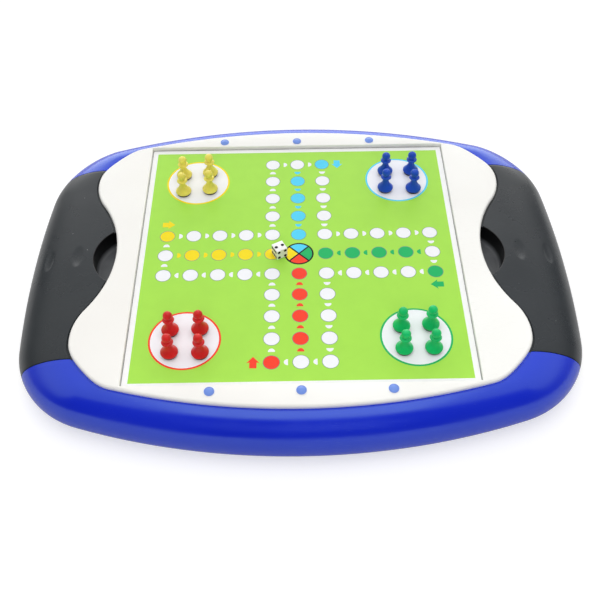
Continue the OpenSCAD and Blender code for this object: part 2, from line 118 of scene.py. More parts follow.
# Drawers
seam_in = 22.1
seam_y = window_w / 2 - seam_in
cover_low, cover_high = node_box("right_grip_cover")
tray_low, tray_high = node_box("right_drawer_tray")
drawer_y = cover_high[1]
grip_x = cover_low[0]
tray_x = tray_low[0]
run_z = tray_low[2]
roof_z = tray_high[2]
thin = 2
cup_r = 28
cup_in = 12.9
cup_x = waist_half - cup_in
cup_end = cup_x + cup_r
cup_depth = 14
cup_floor = rim_h - cup_depth
cup_round = 2.5
cup_skin = 2.2
step_gap = 0.6
deck_end = deck_x + step_gap
ledge_gap = 0.4
ledge_z = seat_z - ledge_gap
dent_x = half_w - 14.4, half_w - 34.4
dent_len = 19
dent_w = 7.2
dent_d = 0.75
stop_pull = 60.5
rib_w = 2
rib_half = 56
rib_drop = 1.8
lug_half = 50
bay_drop = 2.1

# Softened edges, and the small overlap of solids that are joined
edge_soft = 0.35
cover_soft = 0.5
seam_soft = 0.35
shown_x = 141
shown_z = 10
lip_inset = 0.08
sunk = 0.5

# Pins and screws
pin_y = window_w / 2 + 4.8
pin_pitch = 54.5
screw_places = [(x * pin_pitch, s * pin_y) for x in (-1, 0, 1) for s in (-1, 1)]
drawer_screws = [(x, s * drawer_y * 0.72) for s in (-1, 1)
                 for x in (grip_x + 10, (cup_end + half_w) / 2 - 8)]
post_r = 4
pad_r = 5.5
pad_h = 4
head_r = 3
head_z = 2.6
shank_r = 1.6

# Board print, with the direction from the centre to each colour's home lane
field = (card_w - 16) / 11
FIELD_D = 10.5
INK_T = 0.02
field_line = 0.32
home_d = 45.4
home_line = 1.25
ground_half = 104.0
card_grown = 0.55
arrow_out = 11.2
centre_r = 9.9
centre_line = 1.1
SIDES = {"yellow": (-1, 0), "green": (1, 0), "cyan": (0, 1), "red": (0, -1)}
COLOURS = "yellow", "blue", "red", "green"

# Light, and the camera as solved from the photo
floor_glow = 0.54
floor_mirrored = 0.18
softbox_power = 2.4
fill_power = 7.6
tent_light = 0.58
camera_azimuth = -0.24
camera_elevation = 49.95
camera_roll = -0.76
camera_target = 0.1, -41.8, 34.0
camera_distance = 559.8
focal_pixels = 869.7
photo_pixels = 600
sensor = 36.0


# The case's outline and form
def arc_centres():
    """centres of the side bow, the corner and the front bow, and the two facings where they meet"""
    bow = half_w - side_bow_r, 0.0
    front = 0.0, half_d - front_bow_r
    gap = hypot(front[0] - bow[0], front[1] - bow[1])
    reach_s = side_bow_r - corner_r
    reach_f = front_bow_r - corner_r
    along = (reach_s ** 2 - reach_f ** 2 + gap ** 2) / (2 * gap)
    aside = sqrt(reach_s ** 2 - along ** 2)
    dx, dy = (front[0] - bow[0]) / gap, (front[1] - bow[1]) / gap
    corner = bow[0] + along * dx - aside * dy, bow[1] + along * dy + aside * dx
    t_side = degrees(atan2(corner[1] - bow[1], corner[0] - bow[0]))
    t_front = degrees(atan2(corner[1] - front[1], corner[0] - front[0]))
    return bow, corner, front, t_side, t_front


bow_c, corner_c, front_c, t_side, t_front = arc_centres()


def form_level(level, shrink=0.0):
    """insets and height of a ring of the form: level runs from -1, the foot, over 0, the waist, to 1"""
    a = radians(90 * abs(level))
    if level < 0:
        roll = foot_roll * (1 - cos(a))
        return roll, roll, waist_z - (waist_z - shrink) * sin(a)
    out = max(cos(a), 0.0) ** (2 / roll_power)
    up = sin(a) ** (2 / roll_power)
    return side_roll * (1 - out), front_roll * (1 - out), waist_z + (waist_drop - shrink) * up


def form_point(t, level, shrink=0.0):
    """point of the form where its outline faces t degrees, in the quarter x, y >= 0"""
    side_in, front_in, z = form_level(level, shrink)
    nx, ny = cos(radians(t)), sin(radians(t))
    inset = side_in * nx * nx + front_in * ny * ny + shrink
    if t < t_side:
        centre, r = bow_c, side_bow_r
    elif t < t_front:
        centre, r = corner_c, corner_r
    else:
        centre, r = front_c, front_bow_r
    return centre[0] + (r - inset) * nx, centre[1] + (r - inset) * ny, z


def halved(low, high, rounds, too_low):
    """place between low and high up to which too_low holds"""
    for _ in range(rounds):
        mid = (low + high) / 2
        if too_low(mid):
            low = mid
        else:
            high = mid
    return (low + high) / 2


def facing_at(y, level, shrink=0.0):
    """facing at which a ring of the form crosses the plane y"""
    return halved(0.0, 90.0, 34, lambda t: form_point(t, level, shrink)[1] < y)


def level_of_height(z, shrink=0.0):
    """level at which the form has that height"""
    return halved(-1.0, 1.0, 40, lambda level: form_level(level, shrink)[2] < z)


# The top plate's outline
lobe_c = plate_half_w - lobe_r, lobe_y
waist_r = (((lobe_c[0] - waist_half) ** 2 + lobe_y ** 2 - lobe_r ** 2)
           / (2 * (lobe_r + lobe_c[0] - waist_half)))
waist_c = waist_half + waist_r, 0.0
edge_run = plate_half_d - lobe_y
edge_r = (lobe_c[0] ** 2 + edge_run ** 2 - lobe_r ** 2) / (2 * (edge_run - lobe_r))
edge_c = 0.0, plate_half_d - edge_r
t_waist = degrees(atan2(lobe_y, waist_c[0] - lobe_c[0]))
t_edge = degrees(atan2(lobe_y - edge_c[1], lobe_c[0]))


def lobe_reach(t):
    """radius of a lobe where it faces t, least halfway round to the front edge"""
    if t < cut_from:
        return lobe_r
    return lobe_r - corner_cut * sin(radians(180 * (t - cut_from) / (t_edge - cut_from))) ** 2


def plate_distance(x, y):
    """how far a point lies outside the plate's outline"""
    x, y = abs(x), abs(y)
    if degrees(atan2(y - edge_c[1], x)) > t_edge:
        return hypot(x, y - edge_c[1]) - edge_r
    t = degrees(atan2(y - lobe_y, x - lobe_c[0]))
    if t > -t_waist:
        return hypot(x - lobe_c[0], y - lobe_y) - lobe_reach(t)
    return waist_r - hypot(x - waist_c[0], y)


def plate_quarter(grow):
    """points of a quarter of the plate's outline, waist to front edge"""
    points = []
    for i in range(24):
        a = radians(t_waist * i / 24)
        r = waist_r - grow
        points.append((waist_c[0] - r * cos(a), r * sin(a)))
    for i in range(48):
        t = -t_waist + (t_edge + t_waist) * i / 48
        r = lobe_reach(t) + grow
        points.append((lobe_c[0] + r * cos(radians(t)), lobe_y + r * sin(radians(t))))
    for i in range(25):
        a = radians(t_edge + (90 - t_edge) * i / 24)
        r = edge_r + grow
        points.append((r * cos(a) if i < 24 else 0.0, edge_c[1] + r * sin(a)))
    return points


def all_round(quarter):
    """a quarter outline, from y = 0 to x = 0, mirrored into the whole ring"""
    n = len(quarter)
    ring = [(x, y) for x, y in quarter]
    ring += [(-quarter[i][0], quarter[i][1]) for i in range(n - 2, -1, -1)]
    ring += [(-quarter[i][0], -quarter[i][1]) for i in range(1, n)]
    ring += [(quarter[i][0], -quarter[i][1]) for i in range(n - 2, 0, -1)]
    return ring


# Meshes
def placed(name, data):
    """object for a mesh, a lamp or a camera, put into the scene"""
    obj = bpy.data.objects.new(name, data)
    bpy.context.scene.collection.objects.link(obj)
    return obj


def discard(obj):
    """removes an object and its mesh"""
    mesh = obj.data
    bpy.data.objects.remove(obj)
    bpy.data.meshes.remove(mesh)


def from_bmesh(name, bm):
    """object from a bmesh, which is freed"""
    mesh = bpy.data.meshes.new(name)
    bm.to_mesh(mesh)
    bm.free()
    return placed(name, mesh)


def mended(mesh, merge, melt):
    """merges vertices closer than merge metres, melts empty faces and turns the faces outwards"""
    bm = bmesh.new()
    bm.from_mesh(mesh)
    bmesh.ops.remove_doubles(bm, verts=bm.verts, dist=merge)
    bmesh.ops.dissolve_degenerate(bm, edges=bm.edges, dist=melt)
    bmesh.ops.recalc_face_normals(bm, faces=bm.faces)
    bm.to_mesh(mesh)
    bm.free()


def mesh_object(name, points, faces, smooth=35):
    """object with a closed mesh of points in millimetres, faces turned outwards"""
    mesh = bpy.data.meshes.new(name)
    mesh.from_pydata([(x * MM, y * MM, z * MM) for x, y, z in points], [], faces)
    mended(mesh, 2e-7, 1e-7)
    obj = placed(name, mesh)
    soften(obj, smooth)
    return obj


def soften(obj, angle=35):
    """smooth shading, with edges sharper than the angle kept sharp"""
    mesh = obj.data
    mesh.polygons.foreach_set("use_smooth", [True] * len(mesh.polygons))
    mesh.set_sharp_from_angle(angle=radians(angle))
    mesh.update()


def settle(obj):
    """turns the object's modifiers into its plain mesh"""
    graph = bpy.context.evaluated_depsgraph_get()
    plain = bpy.data.meshes.new_from_object(obj.evaluated_get(graph))
    obj.modifiers.clear()
    old = obj.data
    obj.data = plain
    plain.name = obj.name
    bpy.data.meshes.remove(old)


def combine(obj, other, operation="DIFFERENCE"):
    """cuts the other solid out of obj, joins it on, or keeps what they share"""
    step = obj.modifiers.new("combine", "BOOLEAN")
    step.operation = operation
    step.solver = "EXACT"
    step.material_mode = "TRANSFER" if other.data.materials else "INDEX"
    step.object = other
    settle(obj)
    discard(other)


def cleaned(obj):
    """merges the stray vertices that the cuts left"""
    mended(obj.data, 2e-6, 2e-6)


def ring_faces(n, low, high):
    """faces between two rings of n points, given their places in the row of rings"""
    return [(low * n + i, low * n + (i + 1) % n, high * n + (i + 1) % n, high * n + i) for i in range(n)]


def loop_solid(name, loops):
    """solid through a row of closed loops, with flat ends"""
    n = len(loops[0])
    points = [p for loop in loops for p in loop]
    faces = [list(range(n))[::-1]]
    for k in range(len(loops) - 1):
        faces += ring_faces(n, k, k + 1)
    faces.append([(len(loops) - 1) * n + i for i in range(n)])
    return mesh_object(name, points, faces)


def skin_solid(name, columns):
    """solid under a skin of columns: flat below, above and between the first and the last column"""
    n = len(columns[0])
    m = len(columns)
    points = [p for column in columns for p in column]
    faces = []
    for k in range(m - 1):
        for i in range(n - 1):
            faces.append((k * n + i, (k + 1) * n + i, (k + 1) * n + i + 1, k * n + i + 1))
    faces.append([k * n for k in range(m)])
    faces.append([k * n + n - 1 for k in range(m)])
    faces.append([i for i in range(n)] + [(m - 1) * n + i for i in range(n - 1, -1, -1)])
    return mesh_object(name, points, faces)


def block(name, x0, x1, y0, y1, z0, z1):
    """box-shaped cutter or rib"""
    ring = [(x0, y0), (x1, y0), (x1, y1), (x0, y1)]
    return loop_solid(name, [[(x, y, z) for x, y in ring] for z in (z0, z1)])


def turned(name, profile, centre=(0.0, 0.0, 0.0), steps=48):
    """solid of revolution about an upright axis; the profile runs up from axis to axis"""
    points, faces, rings = [], [], []
    for r, z in profile:
        if r < 1e-6:
            rings.append([len(points)])
            points.append((centre[0], centre[1], centre[2] + z))
            continue
        rings.append([len(points) + i for i in range(steps)])
        for i in range(steps):
            a = radians(360 * i / steps)
            points.append((centre[0] + r * cos(a), centre[1] + r * sin(a), centre[2] + z))
    for low, high in zip(rings, rings[1:]):
        for i in range(steps):
            j = (i + 1) % steps
            corners = [low[i % len(low)], low[j % len(low)], high[j % len(high)], high[i % len(high)]]
            faces.append(list(dict.fromkeys(corners)))
    return mesh_object(name, points, faces)


def mirrored(obj, name, axis):
    """copy of an object's mesh, mirrored across the frame's middle plane"""
    mesh = obj.data.copy()
    scale = Matrix.Diagonal([-1 if i == axis else 1 for i in range(3)]).to_4x4()
    mesh.transform(scale)
    mesh.flip_normals()
    mesh.name = name
    return placed(name, mesh)


def join(name, objects):
    """one object from several, which then are gone"""
    bm = bmesh.new()
    materials = []
    for obj in objects:
        for m in obj.data.materials:
            if m not in materials:
                materials.append(m)
    for obj in objects:
        start = len(bm.faces)
        bm.from_mesh(obj.data)
        bm.faces.ensure_lookup_table()
        slots = [materials.index(m) for m in obj.data.materials]
        for face in bm.faces[start:]:
            if slots:
                face.material_index = slots[min(face.material_index, len(slots) - 1)]
    whole = from_bmesh(name, bm)
    for m in materials:
        whole.data.materials.append(m)
    for obj in objects:
        discard(obj)
    return whole


def even_run(path, count):
    """points spaced evenly along a path, first and last kept"""
    lengths = [0.0]
    for p, q in zip(path, path[1:]):
        lengths.append(lengths[-1] + sqrt(sum((a - b) ** 2 for a, b in zip(p, q))))
    run, k = [], 0
    for i in range(count + 1):
        goal = lengths[-1] * i / count
        while k < len(path) - 2 and lengths[k + 1] < goal:
            k += 1
        span = lengths[k + 1] - lengths[k]
        f = (goal - lengths[k]) / span if span > 1e-9 else 0.0
        run.append(tuple(a + (b - a) * f for a, b in zip(path[k], path[k + 1])))
    return run


def soft_edge(end, before, radius, floor_z):
    """from the end of a skin, a small rounding into the groove's wall and down to its floor"""
    dx, dy = end[0] - before[0], end[1] - before[1]
    size = hypot(dx, dy)
    dx, dy = dx / size, dy / size
    reach = radius
    for _ in range(30):
        if plate_distance(end[0] + dx * reach, end[1] + dy * reach) <= groove:
            break
        reach *= 1.02
    points = []
    for i in range(1, 6):
        a = radians(90 * i / 5)
        run = reach * sin(a)
        points.append((end[0] + dx * run, end[1] + dy * run, end[2] - radius * (1 - cos(a))))
    points.append((points[-1][0], points[-1][1], floor_z))
    return points


def shoulder_run(point_at, stop, count):
    """points of a skin from the waist up and in, until stop says how far outside the groove it may end"""
    steps = 120
    path = [point_at(0.0)]
    for i in range(1, steps + 1):
        p = point_at(i / steps)
        gap = plate_distance(p[0], p[1])
        if gap < stop:
            last = path[-1]
            before = plate_distance(last[0], last[1])
            f = (before - stop) / (before - gap)
            path.append(tuple(a + (b - a) * f for a, b in zip(last, p)))
            return even_run(path, count)
        path.append(p)
    last, before = path[-1], path[-2]
    size = hypot(last[0] - before[0], last[1] - before[1])
    dx, dy = (last[0] - before[0]) / size, (last[1] - before[1]) / size
    reach = halved(0.0, 60.0, 40, lambda d: plate_distance(last[0] + dx * d, last[1] + dy * d) > stop)
    path.append((last[0] + dx * reach, last[1] + dy * reach, last[2]))
    return even_run(path, count)


# Finishes
def linear(rgb):
    """a colour written as 0-255 values, in the linear values that shaders take"""
    out = []
    for v in rgb:
        v = v / 255
        out.append(v / 12.92 if v <= 0.04045 else ((v + 0.055) / 1.055) ** 2.4)
    return (*out, 1.0)


def darker(rgb, share):
    """a written colour with only a share of its light"""
    return tuple(round(c * share) for c in rgb)


def feed(tree, node, inputs):
    """gives each input of a node its value, or links the socket that it comes from"""
    for key, value in inputs.items():
        if isinstance(value, bpy.types.NodeSocket):
            tree.links.new(value, node.inputs[key])
        else:
            node.inputs[key].default_value = value


def add_node(tree, kind, inputs=None, **settings):
    """new node with its settings and its inputs"""
    node = tree.nodes.new(kind)
    for key, value in settings.items():
        setattr(node, key, value)
    feed(tree, node, inputs or {})
    return node


def worked_out(tree, operation, a, b):
    """sum or product of two values, each a number or a socket"""
    return add_node(tree, "ShaderNodeMath", {0: a, 1: b}, operation=operation).outputs[0]


def ranged(tree, value, low, high, a, b, **settings):
    """value taken from low..high to a..b, held at the ends"""
    inputs = {"Value": value, "From Min": low, "From Max": high, "To Min": a, "To Max": b}
    return add_node(tree, "ShaderNodeMapRange", inputs, **settings).outputs["Result"]


class Finish:
    """a node material on Object coordinates"""

    def __init__(self, name, rgb, roughness):
        self.material = bpy.data.materials.new(name)
        self.material.use_nodes = True
        self.tree = self.material.node_tree
        self.shader = self.tree.nodes["Principled BSDF"]
        self.set("Base Color", linear(rgb))
        self.set("Roughness", roughness)
        self.place = self.tree.nodes.new("ShaderNodeTexCoord").outputs["Object"]
        self.height = None

    def set(self, name, value):
        """gives an input of the shader a value or a socket"""
        feed(self.tree, self.shader, {name: value})

    def noise(self, scale, detail=2.0, roughness=0.5, stretch=(1.0, 1.0, 1.0)):
        """a noise field; scale is in waves per metre"""
        mapping = add_node(self.tree, "ShaderNodeMapping", {"Vector": self.place, "Scale": stretch})
        inputs = {"Vector": mapping.outputs["Vector"], "Scale": scale, "Detail": detail,
                  "Roughness": roughness}
        return add_node(self.tree, "ShaderNodeTexNoise", inputs).outputs["Fac"]

    def ramp(self, value, low, high, a=0.0, b=1.0):
        """value taken from low..high to a..b, held at the ends"""
        return ranged(self.tree, value, low, high, a, b)

    def blend(self, amount, under, over):
        """mixes two colours, each a written colour or a socket"""
        under, over = (linear(c) if isinstance(c, tuple) else c for c in (under, over))
        inputs = {"Factor": amount, 6: under, 7: over}
        return add_node(self.tree, "ShaderNodeMix", inputs, data_type="RGBA").outputs[2]

    def times(self, a, b):
        """product of two values"""
        return worked_out(self.tree, "MULTIPLY", a, b)

    def worn_over(self):
        """the colour that feeds the shader so far"""
        return self.shader.inputs["Base Color"].links[0].from_socket

    def bump(self, value, strength, distance):
        """adds a relief, its depth in millimetres"""
        inputs = {"Strength": strength, "Distance": distance * MM, "Height": value}
        if self.height:
            inputs["Normal"] = self.height
        self.height = add_node(self.tree, "ShaderNodeBump", inputs).outputs["Normal"]
        self.set("Normal", self.height)

    def scratches(self, amount=0.35):
        """fine rubbed lines, from two stretched noises"""
        one = self.ramp(self.noise(160, 3, 0.6, (1.0, 14.0, 14.0)), 0.60, 0.72)
        two = self.ramp(self.noise(14, 2), 0.45, 0.65)
        return self.times(self.times(one, two), amount)


def moulded(name, rgb, roughness, rubbed, grain=900, depth=0.015, scuffs=0.35, gloss=0.5):
    """injection-moulded plastic: fine mould grain, a slow wave in the gloss, rubbed lines"""
    f = Finish(name, rgb, roughness)
    wave = f.noise(9, 3)
    rub = f.scratches(scuffs)
    paler = tuple(min(255, round(c * 1.04 + 2)) for c in rgb)
    f.set("Base Color", f.blend(rub, f.blend(f.ramp(wave, 0.3, 0.7), rgb, paler), rubbed))
    f.set("Roughness", f.ramp(f.noise(26, 4, 0.6), 0.3, 0.7, roughness - 0.05, roughness + 0.07))
    f.bump(f.noise(grain, 2), 0.25, depth)
    f.bump(f.noise(18, 2), 0.12, 0.05)
    f.set("IOR", 1.49)
    f.set("Specular IOR Level", gloss)
    return f


def dusted_black(name, rgb, roughness):
    """black moulded plastic with sparse pale dust"""
    f = moulded(name, rgb, roughness, (96, 99, 102), grain=1100, depth=0.012, scuffs=0.22)
    cells = add_node(f.tree, "ShaderNodeTexVoronoi", {"Scale": 210, "Vector": f.place})
    speck = f.ramp(cells.outputs["Distance"], 0.035, 0.075, 1.0, 0.0)
    chosen = f.ramp(f.noise(60, 2), 0.66, 0.70)
    f.set("Base Color", f.blend(f.times(f.times(speck, chosen), 0.8), f.worn_over(), (190, 192, 190)))
    return f


blue_finish = moulded("blue_case_plastic", (16, 38, 202), 0.20, (110, 130, 215), scuffs=0.12, gloss=0.95)
blue_finish.set("Specular Tint", (0.62, 0.98, 1.0, 1.0))
black_finish = dusted_black("black_grip_plastic", (30, 36, 40), 0.27)


def cup_plastic():
    """the grip's black plastic in the thumb cup: painted light makes its floor paler, painted shade makes it
    dark up its wall
    """
    f = dusted_black("thumb_cup_plastic", (33, 36, 39), 0.36)
    split = add_node(f.tree, "ShaderNodeSeparateXYZ", {"Vector": f.place})
    # rubbed is only a mask of the cup's floor, 1 there and 0 from 3.5 mm up; it carries painted light on the
    # floor and painted shade up the wall
    rubbed = f.ramp(split.outputs["Z"], (cup_floor + 0.4) * MM, (cup_floor + 3.5) * MM, 1.0, 0.0)
    # painted light on the cup's floor, in patches
    painted_floor_light = f.times(rubbed, f.ramp(f.noise(120, 3), 0.25, 0.75, 0.75, 1.0))
    # painted shade: near black up the cup's wall, the plain finish on its floor
    shade = f.blend(rubbed, (12, 12, 13), f.worn_over())
    f.set("Base Color", f.blend(painted_floor_light, shade, (106, 108, 111)))
    return f


cup_finish = cup_plastic()
tray_finish = moulded("black_tray_plastic", (24, 25, 27), 0.42, (80, 82, 84), grain=700, depth=0.02)
white_finish = moulded("white_plate_plastic", (246, 244, 239), 0.34, (228, 226, 220), grain=1000,
                       depth=0.008, scuffs=0.5, gloss=0.28)
pin_finish = moulded("blue_pin_plastic", (112, 146, 226), 0.32, (170, 190, 240), grain=1500, depth=0.006)


def sheet_metal(name, rgb, roughness, brushed):
    """rolled or plated steel with a fine brushing and dull spots"""
    f = Finish(name, rgb, roughness)
    f.set("Metallic", 1.0)
    lines = f.noise(240, 3, 0.6, brushed)
    spots = f.ramp(f.noise(45, 4), 0.45, 0.75)
    f.set("Base Color", f.blend(spots, rgb, darker(rgb, 0.82)))
    f.set("Roughness", f.ramp(lines, 0.3, 0.7, roughness - 0.06, roughness + 0.12))
    f.bump(lines, 0.2, 0.01)
    return f


steel_finish = sheet_metal("tinned_steel", (188, 190, 190), 0.32, (1.0, 30.0, 1.0))
zinc_finish = sheet_metal("zinc_screw", (196, 197, 200), 0.30, (4.0, 4.0, 4.0))


def printed(name, rgb, roughness=0.36):
    """ink on coated card: faint mottling and paper tooth under the varnish"""
    f = Finish(name, rgb, roughness)
    mottle = f.ramp(f.noise(70, 4, 0.6), 0.35, 0.65)
    f.set("Base Color", f.blend(mottle, rgb, darker(rgb, 0.985)))
    f.set("Roughness", f.ramp(f.noise(40, 3), 0.3, 0.7, roughness - 0.04, roughness + 0.06))
    f.bump(f.noise(1400, 2), 0.15, 0.006)
    f.set("Specular IOR Level", 0.22)
    return f


INKS = {
    "paper": (250, 250, 250), "green_ground": (171, 230, 82), "white": (247, 248, 252),
    "yellow": (252, 226, 16), "cyan": (84, 214, 250), "green": (22, 184, 102), "red": (252, 66, 42),
    "outline": (120, 130, 146), "black": (14, 18, 24),
}
ink = {key: printed("ink_" + key, rgb) for key, rgb in INKS.items()}


def pawn_plastic(name, rgb):
    """glossy tumbled plastic, a little light inside it"""
    f = Finish(name, rgb, 0.26)
    f.set("Base Color", f.blend(f.ramp(f.noise(160, 3), 0.35, 0.65), rgb, darker(rgb, 0.94)))
    f.set("Roughness", f.ramp(f.noise(320, 3), 0.3, 0.7, 0.27, 0.41))
    f.set("Specular IOR Level", 0.32)
    f.bump(f.noise(900, 2), 0.15, 0.01)
    f.set("Subsurface Weight", 0.35)
    f.set("Subsurface Radius", (0.0015, 0.0015, 0.0015))
    return f


PAWN_RGB = {"yellow": (255, 240, 112), "blue": (36, 86, 204), "red": (226, 40, 40), "green": (24, 206, 116)}
pawn_finish = {c: pawn_plastic("pawn_" + c, rgb) for c, rgb in PAWN_RGB.items()}
magnet_finish = moulded("magnet_black", (24, 24, 26), 0.48, (70, 70, 72), grain=1600, depth=0.02)
die_finish = moulded("die_white", (248, 247, 244), 0.24, (236, 234, 228), grain=1800, depth=0.004)
pip_finish = moulded("pip_black", (26, 24, 24), 0.36, (60, 58, 58), grain=1800, depth=0.004)


def wear(obj, finish):
    """gives an object one finish"""
    obj.data.materials.clear()
    obj.data.materials.append(finish.material)


def mount(obj, body, slot, *nodes):
    """fixes a piece to its body and hides the CAD nodes that it stands for; slot is not used"""
    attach(obj, body)
    if nodes:
        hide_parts(*nodes)


# Case shells
def band_columns(seam, shrink, z_low, z_high, corner_n, front_n):
    """columns of the front or back band from z_low, round from one seam to the other; z_high None ends
    them at the plate's groove"""
    start = level_of_height(z_low, shrink)
    stop_level = 1.0 if z_high is None else level_of_height(z_high, shrink)
    shares = [("corner", i / corner_n) for i in range(corner_n)]
    shares += [("front", i / front_n) for i in range(front_n + 1)]
    columns = []
    cache = {}

    def seam_facing(level):
        key = round(level, 7)
        if key not in cache:
            cache[key] = facing_at(seam, level, shrink)
        return cache[key]

    for part, share in shares:
        def at(level, part=part, share=share):
            if part == "corner":
                t0 = seam_facing(level)
                t = t0 + (t_front - t0) * share
                if share == 0:
                    x, _, z = form_point(t, level, shrink)
                    return x, seam, z
            else:
                t = t_front + (90 - t_front) * share
            return form_point(t, level, shrink)

        foot = [at(start * (1 - i / 7)) for i in range(7)] if start < 0 else [at(start)]
        if z_high is None:
            skin = shoulder_run(at, groove + edge_soft, 46)
            column = foot + skin + soft_edge(skin[-1], skin[-2], edge_soft, seat_z)
        else:
            base = max(start, 0.0)
            span = stop_level - base
            column = foot + [at(base + span * i / 16) for i in range(1 if start > 0 else 0, 17)]
        columns.append(column)
    columns[-1] = [(0.0, y, z) for x, y, z in columns[-1]]
    return columns + [[(-x, y, z) for x, y, z in c] for c in columns[-2::-1]]


def soften_seam(obj, seam):
    """small rounding on the visible edge of the seam faces"""
    mesh = obj.data
    weights = mesh.attributes.new("bevel_weight_edge", "FLOAT", "EDGE")
    on_seam = [abs(abs(v.co.y / MM) - seam) < 1e-3 for v in mesh.vertices]
    outer = set()
    for polygon in mesh.polygons:
        ends = [on_seam[i] for i in polygon.vertices]
        if not all(ends):
            for a, b in polygon.edge_keys:
                if on_seam[a] and on_seam[b]:
                    outer.add((a, b))
    for edge in mesh.edges:
        a, b = edge.vertices
        if (min(a, b), max(a, b)) in outer:
            za, zb = mesh.vertices[a].co.z / MM, mesh.vertices[b].co.z / MM
            xa, xb = abs(mesh.vertices[a].co.x / MM), abs(mesh.vertices[b].co.x / MM)
            shown = min(za, zb) > lip_z and max(za, zb) > shown_z and (za + zb) / 2 < rim_h
            if shown and min(xa, xb) > shown_x:
                weights.data[edge.index].value = 1.0
    step = obj.modifiers.new("soften", "BEVEL")
    step.limit_method = "WEIGHT"
    step.width = seam_soft * MM
    step.segments = 3
    settle(obj)


def sheet_pocket():
    """cutter for the steel sheet's pocket: a square whose corners are clipped to stay under the plate"""
    a = sheet_half + pocket_gap
    clip = 2 * (sheet_half - window_w / 2) - corner_lap * sqrt(2) + pocket_gap * (2 - sqrt(2))
    b = a - clip
    ring = [(a, -b), (a, b), (b, a), (-b, a), (-a, b), (-a, -b), (-b, -a), (b, -a)]
    return loop_solid("pocket", [[(x, y, z) for x, y in ring] for z in (seat_z - 0.5, seat_z + 2)])


def upper_shell():
    """the blue shell: front and back bands, deck, tunnel walls and stop ribs"""
    front = skin_solid("band", band_columns(seam_y, 0.0, lip_z + lip_gap, None, 26, 44))
    inside = skin_solid("hollow", band_columns(seam_y + wall, wall, lip_z - 2, deck_z, 10, 14))
    combine(front, inside)
    combine(front, sheet_pocket())
    foot_x = half_w - tunnel_in
    combine(front, block("foot", -foot_x, foot_x, seam_y, seam_y + wall, wall, lip_z + 1), "UNION")
    back = mirrored(front, "band_back", 1)
    deck_y = seam_y + 0.4
    deck = block("deck", -deck_x, deck_x, -deck_y, deck_y, deck_z, seat_z)
    combine(deck, sheet_pocket())
    combine(deck, block("middle", -1.5, 1.5, -deck_y, deck_y, wall, deck_z + sunk), "UNION")
    stop_x = tray_x + thin + stop_pull
    for side in (-1, 1):
        x0, x1 = sorted((side * stop_x, side * (stop_x + rib_w)))
        combine(deck, block("rib", x0, x1, -rib_half, rib_half, deck_z - rib_drop, deck_z + sunk), "UNION")
    combine(deck, front, "UNION")
    combine(deck, back, "UNION")
    deck.name = "case_top_shell"
    soften(deck)
    wear(deck, blue_finish)
    mount(deck, "case", "blue_case", "case_top")
    return deck


def screw_bosses(obj, places, pad_low, pad_high, seat_low, bed, seat_high):
    """pads for screws, then the seats for their heads and shanks, sunk in from below"""
    pad = [(0, pad_low), (pad_r, pad_low), (pad_r, pad_high), (0, pad_high)]
    seat = [(0, seat_low), (head_r, seat_low), (head_r, bed), (shank_r, bed), (shank_r, seat_high),
            (0, seat_high)]
    for x, y in places:
        combine(obj, turned("pad", pad, (x, y, 0)), "UNION")
    for x, y in places:
        combine(obj, turned("seat", seat, (x, y, 0)))


def lower_shell():
    """the blue floor with its upstanding lips, pads and sunk screw seats"""
    floor_level = level_of_height(wall)
    quarter_t = [t_side * i / 12 for i in range(12)]
    quarter_t += [t_side + (t_front - t_side) * i / 36 for i in range(36)]
    quarter_t += [t_front + (90 - t_front) * i / 16 for i in range(17)]
    loops = []
    for i in range(17):
        level = -1 + (floor_level + 1) * i / 16
        quarter = [form_point(t, level)[:2] for t in quarter_t]
        ring = all_round(quarter[:-1] + [(0.0, quarter[-1][1])])
        loops.append([(x, y, form_level(level)[2]) for x, y in ring])
    shell = loop_solid("case_base_shell", loops)
    lip = skin_solid("lip", band_columns(seam_y, lip_inset, wall - 0.3, lip_z, 26, 44))
    inside = skin_solid("lip_hollow", band_columns(seam_y + wall, wall, wall - 0.2, lip_z + 1, 12, 20))
    combine(lip, inside)
    back = mirrored(lip, "lip_back", 1)
    combine(shell, lip, "UNION")
    combine(shell, back, "UNION")
    screw_bosses(shell, screw_places, wall - 0.3, wall + pad_h, -1, head_z, 8)
    cleaned(shell)
    soften(shell)
    wear(shell, blue_finish)
    mount(shell, "case", "blue_case", "case_base")
    return shell


# Drawers, drawn on the right
def dent_depth(x, y):
    """depth of the two finger dents at a point of the shoulder"""
    depth = 0.0
    for centre in dent_x:
        spread = ((x - centre) / (dent_w / 2)) ** 2 + (y / (dent_len / 2)) ** 2
        if spread < 1:
            depth += dent_d * (1 - spread)
    return depth


def dented(run, y):
    """a skin's run with the finger dents pressed in, square to the skin"""
    out = [run[0]]
    for before, p, after in zip(run, run[1:], run[2:]):
        dx, dz = after[0] - before[0], after[2] - before[2]
        size = hypot(dx, dz)
        depth = dent_depth(p[0], y)
        out.append((p[0] - depth * dz / size, p[1], p[2] + depth * dx / size))
    return out + [run[-1]]


def side_rows(fine, coarse):
    """y of the columns across a grip, closer at the finger dents"""
    near = [12.0 * i / fine for i in range(fine)]
    far = [12.0 + (drawer_y - 12.0) * i / coarse for i in range(coarse + 1)]
    half = near + far
    return [-y for y in half[:0:-1]] + half


def side_column(y, z_low, z_high=None, shrink=0.0, count=74):
    """skin of a grip at y, from z_low up: to the plate's groove, or to z_high"""
    def at(level):
        x, _, z = form_point(facing_at(abs(y), level, shrink), level, shrink)
        return x, y, z

    start = level_of_height(z_low, shrink)
    foot = [at(start * (1 - i / 7)) for i in range(7)] if start < 0 else []
    if z_high is not None:
        base, stop = max(start, 0.0), level_of_height(z_high, shrink)
        if stop < 0:
            return [at(start + (stop - start) * i / 7) for i in range(8)]
        return foot + [at(base + (stop - base) * i / count) for i in range(count + 1)]
    skin = dented(shoulder_run(at, groove + cover_soft, count), y)
    return foot + skin + soft_edge(skin[-1], skin[-2], cover_soft, ledge_z)


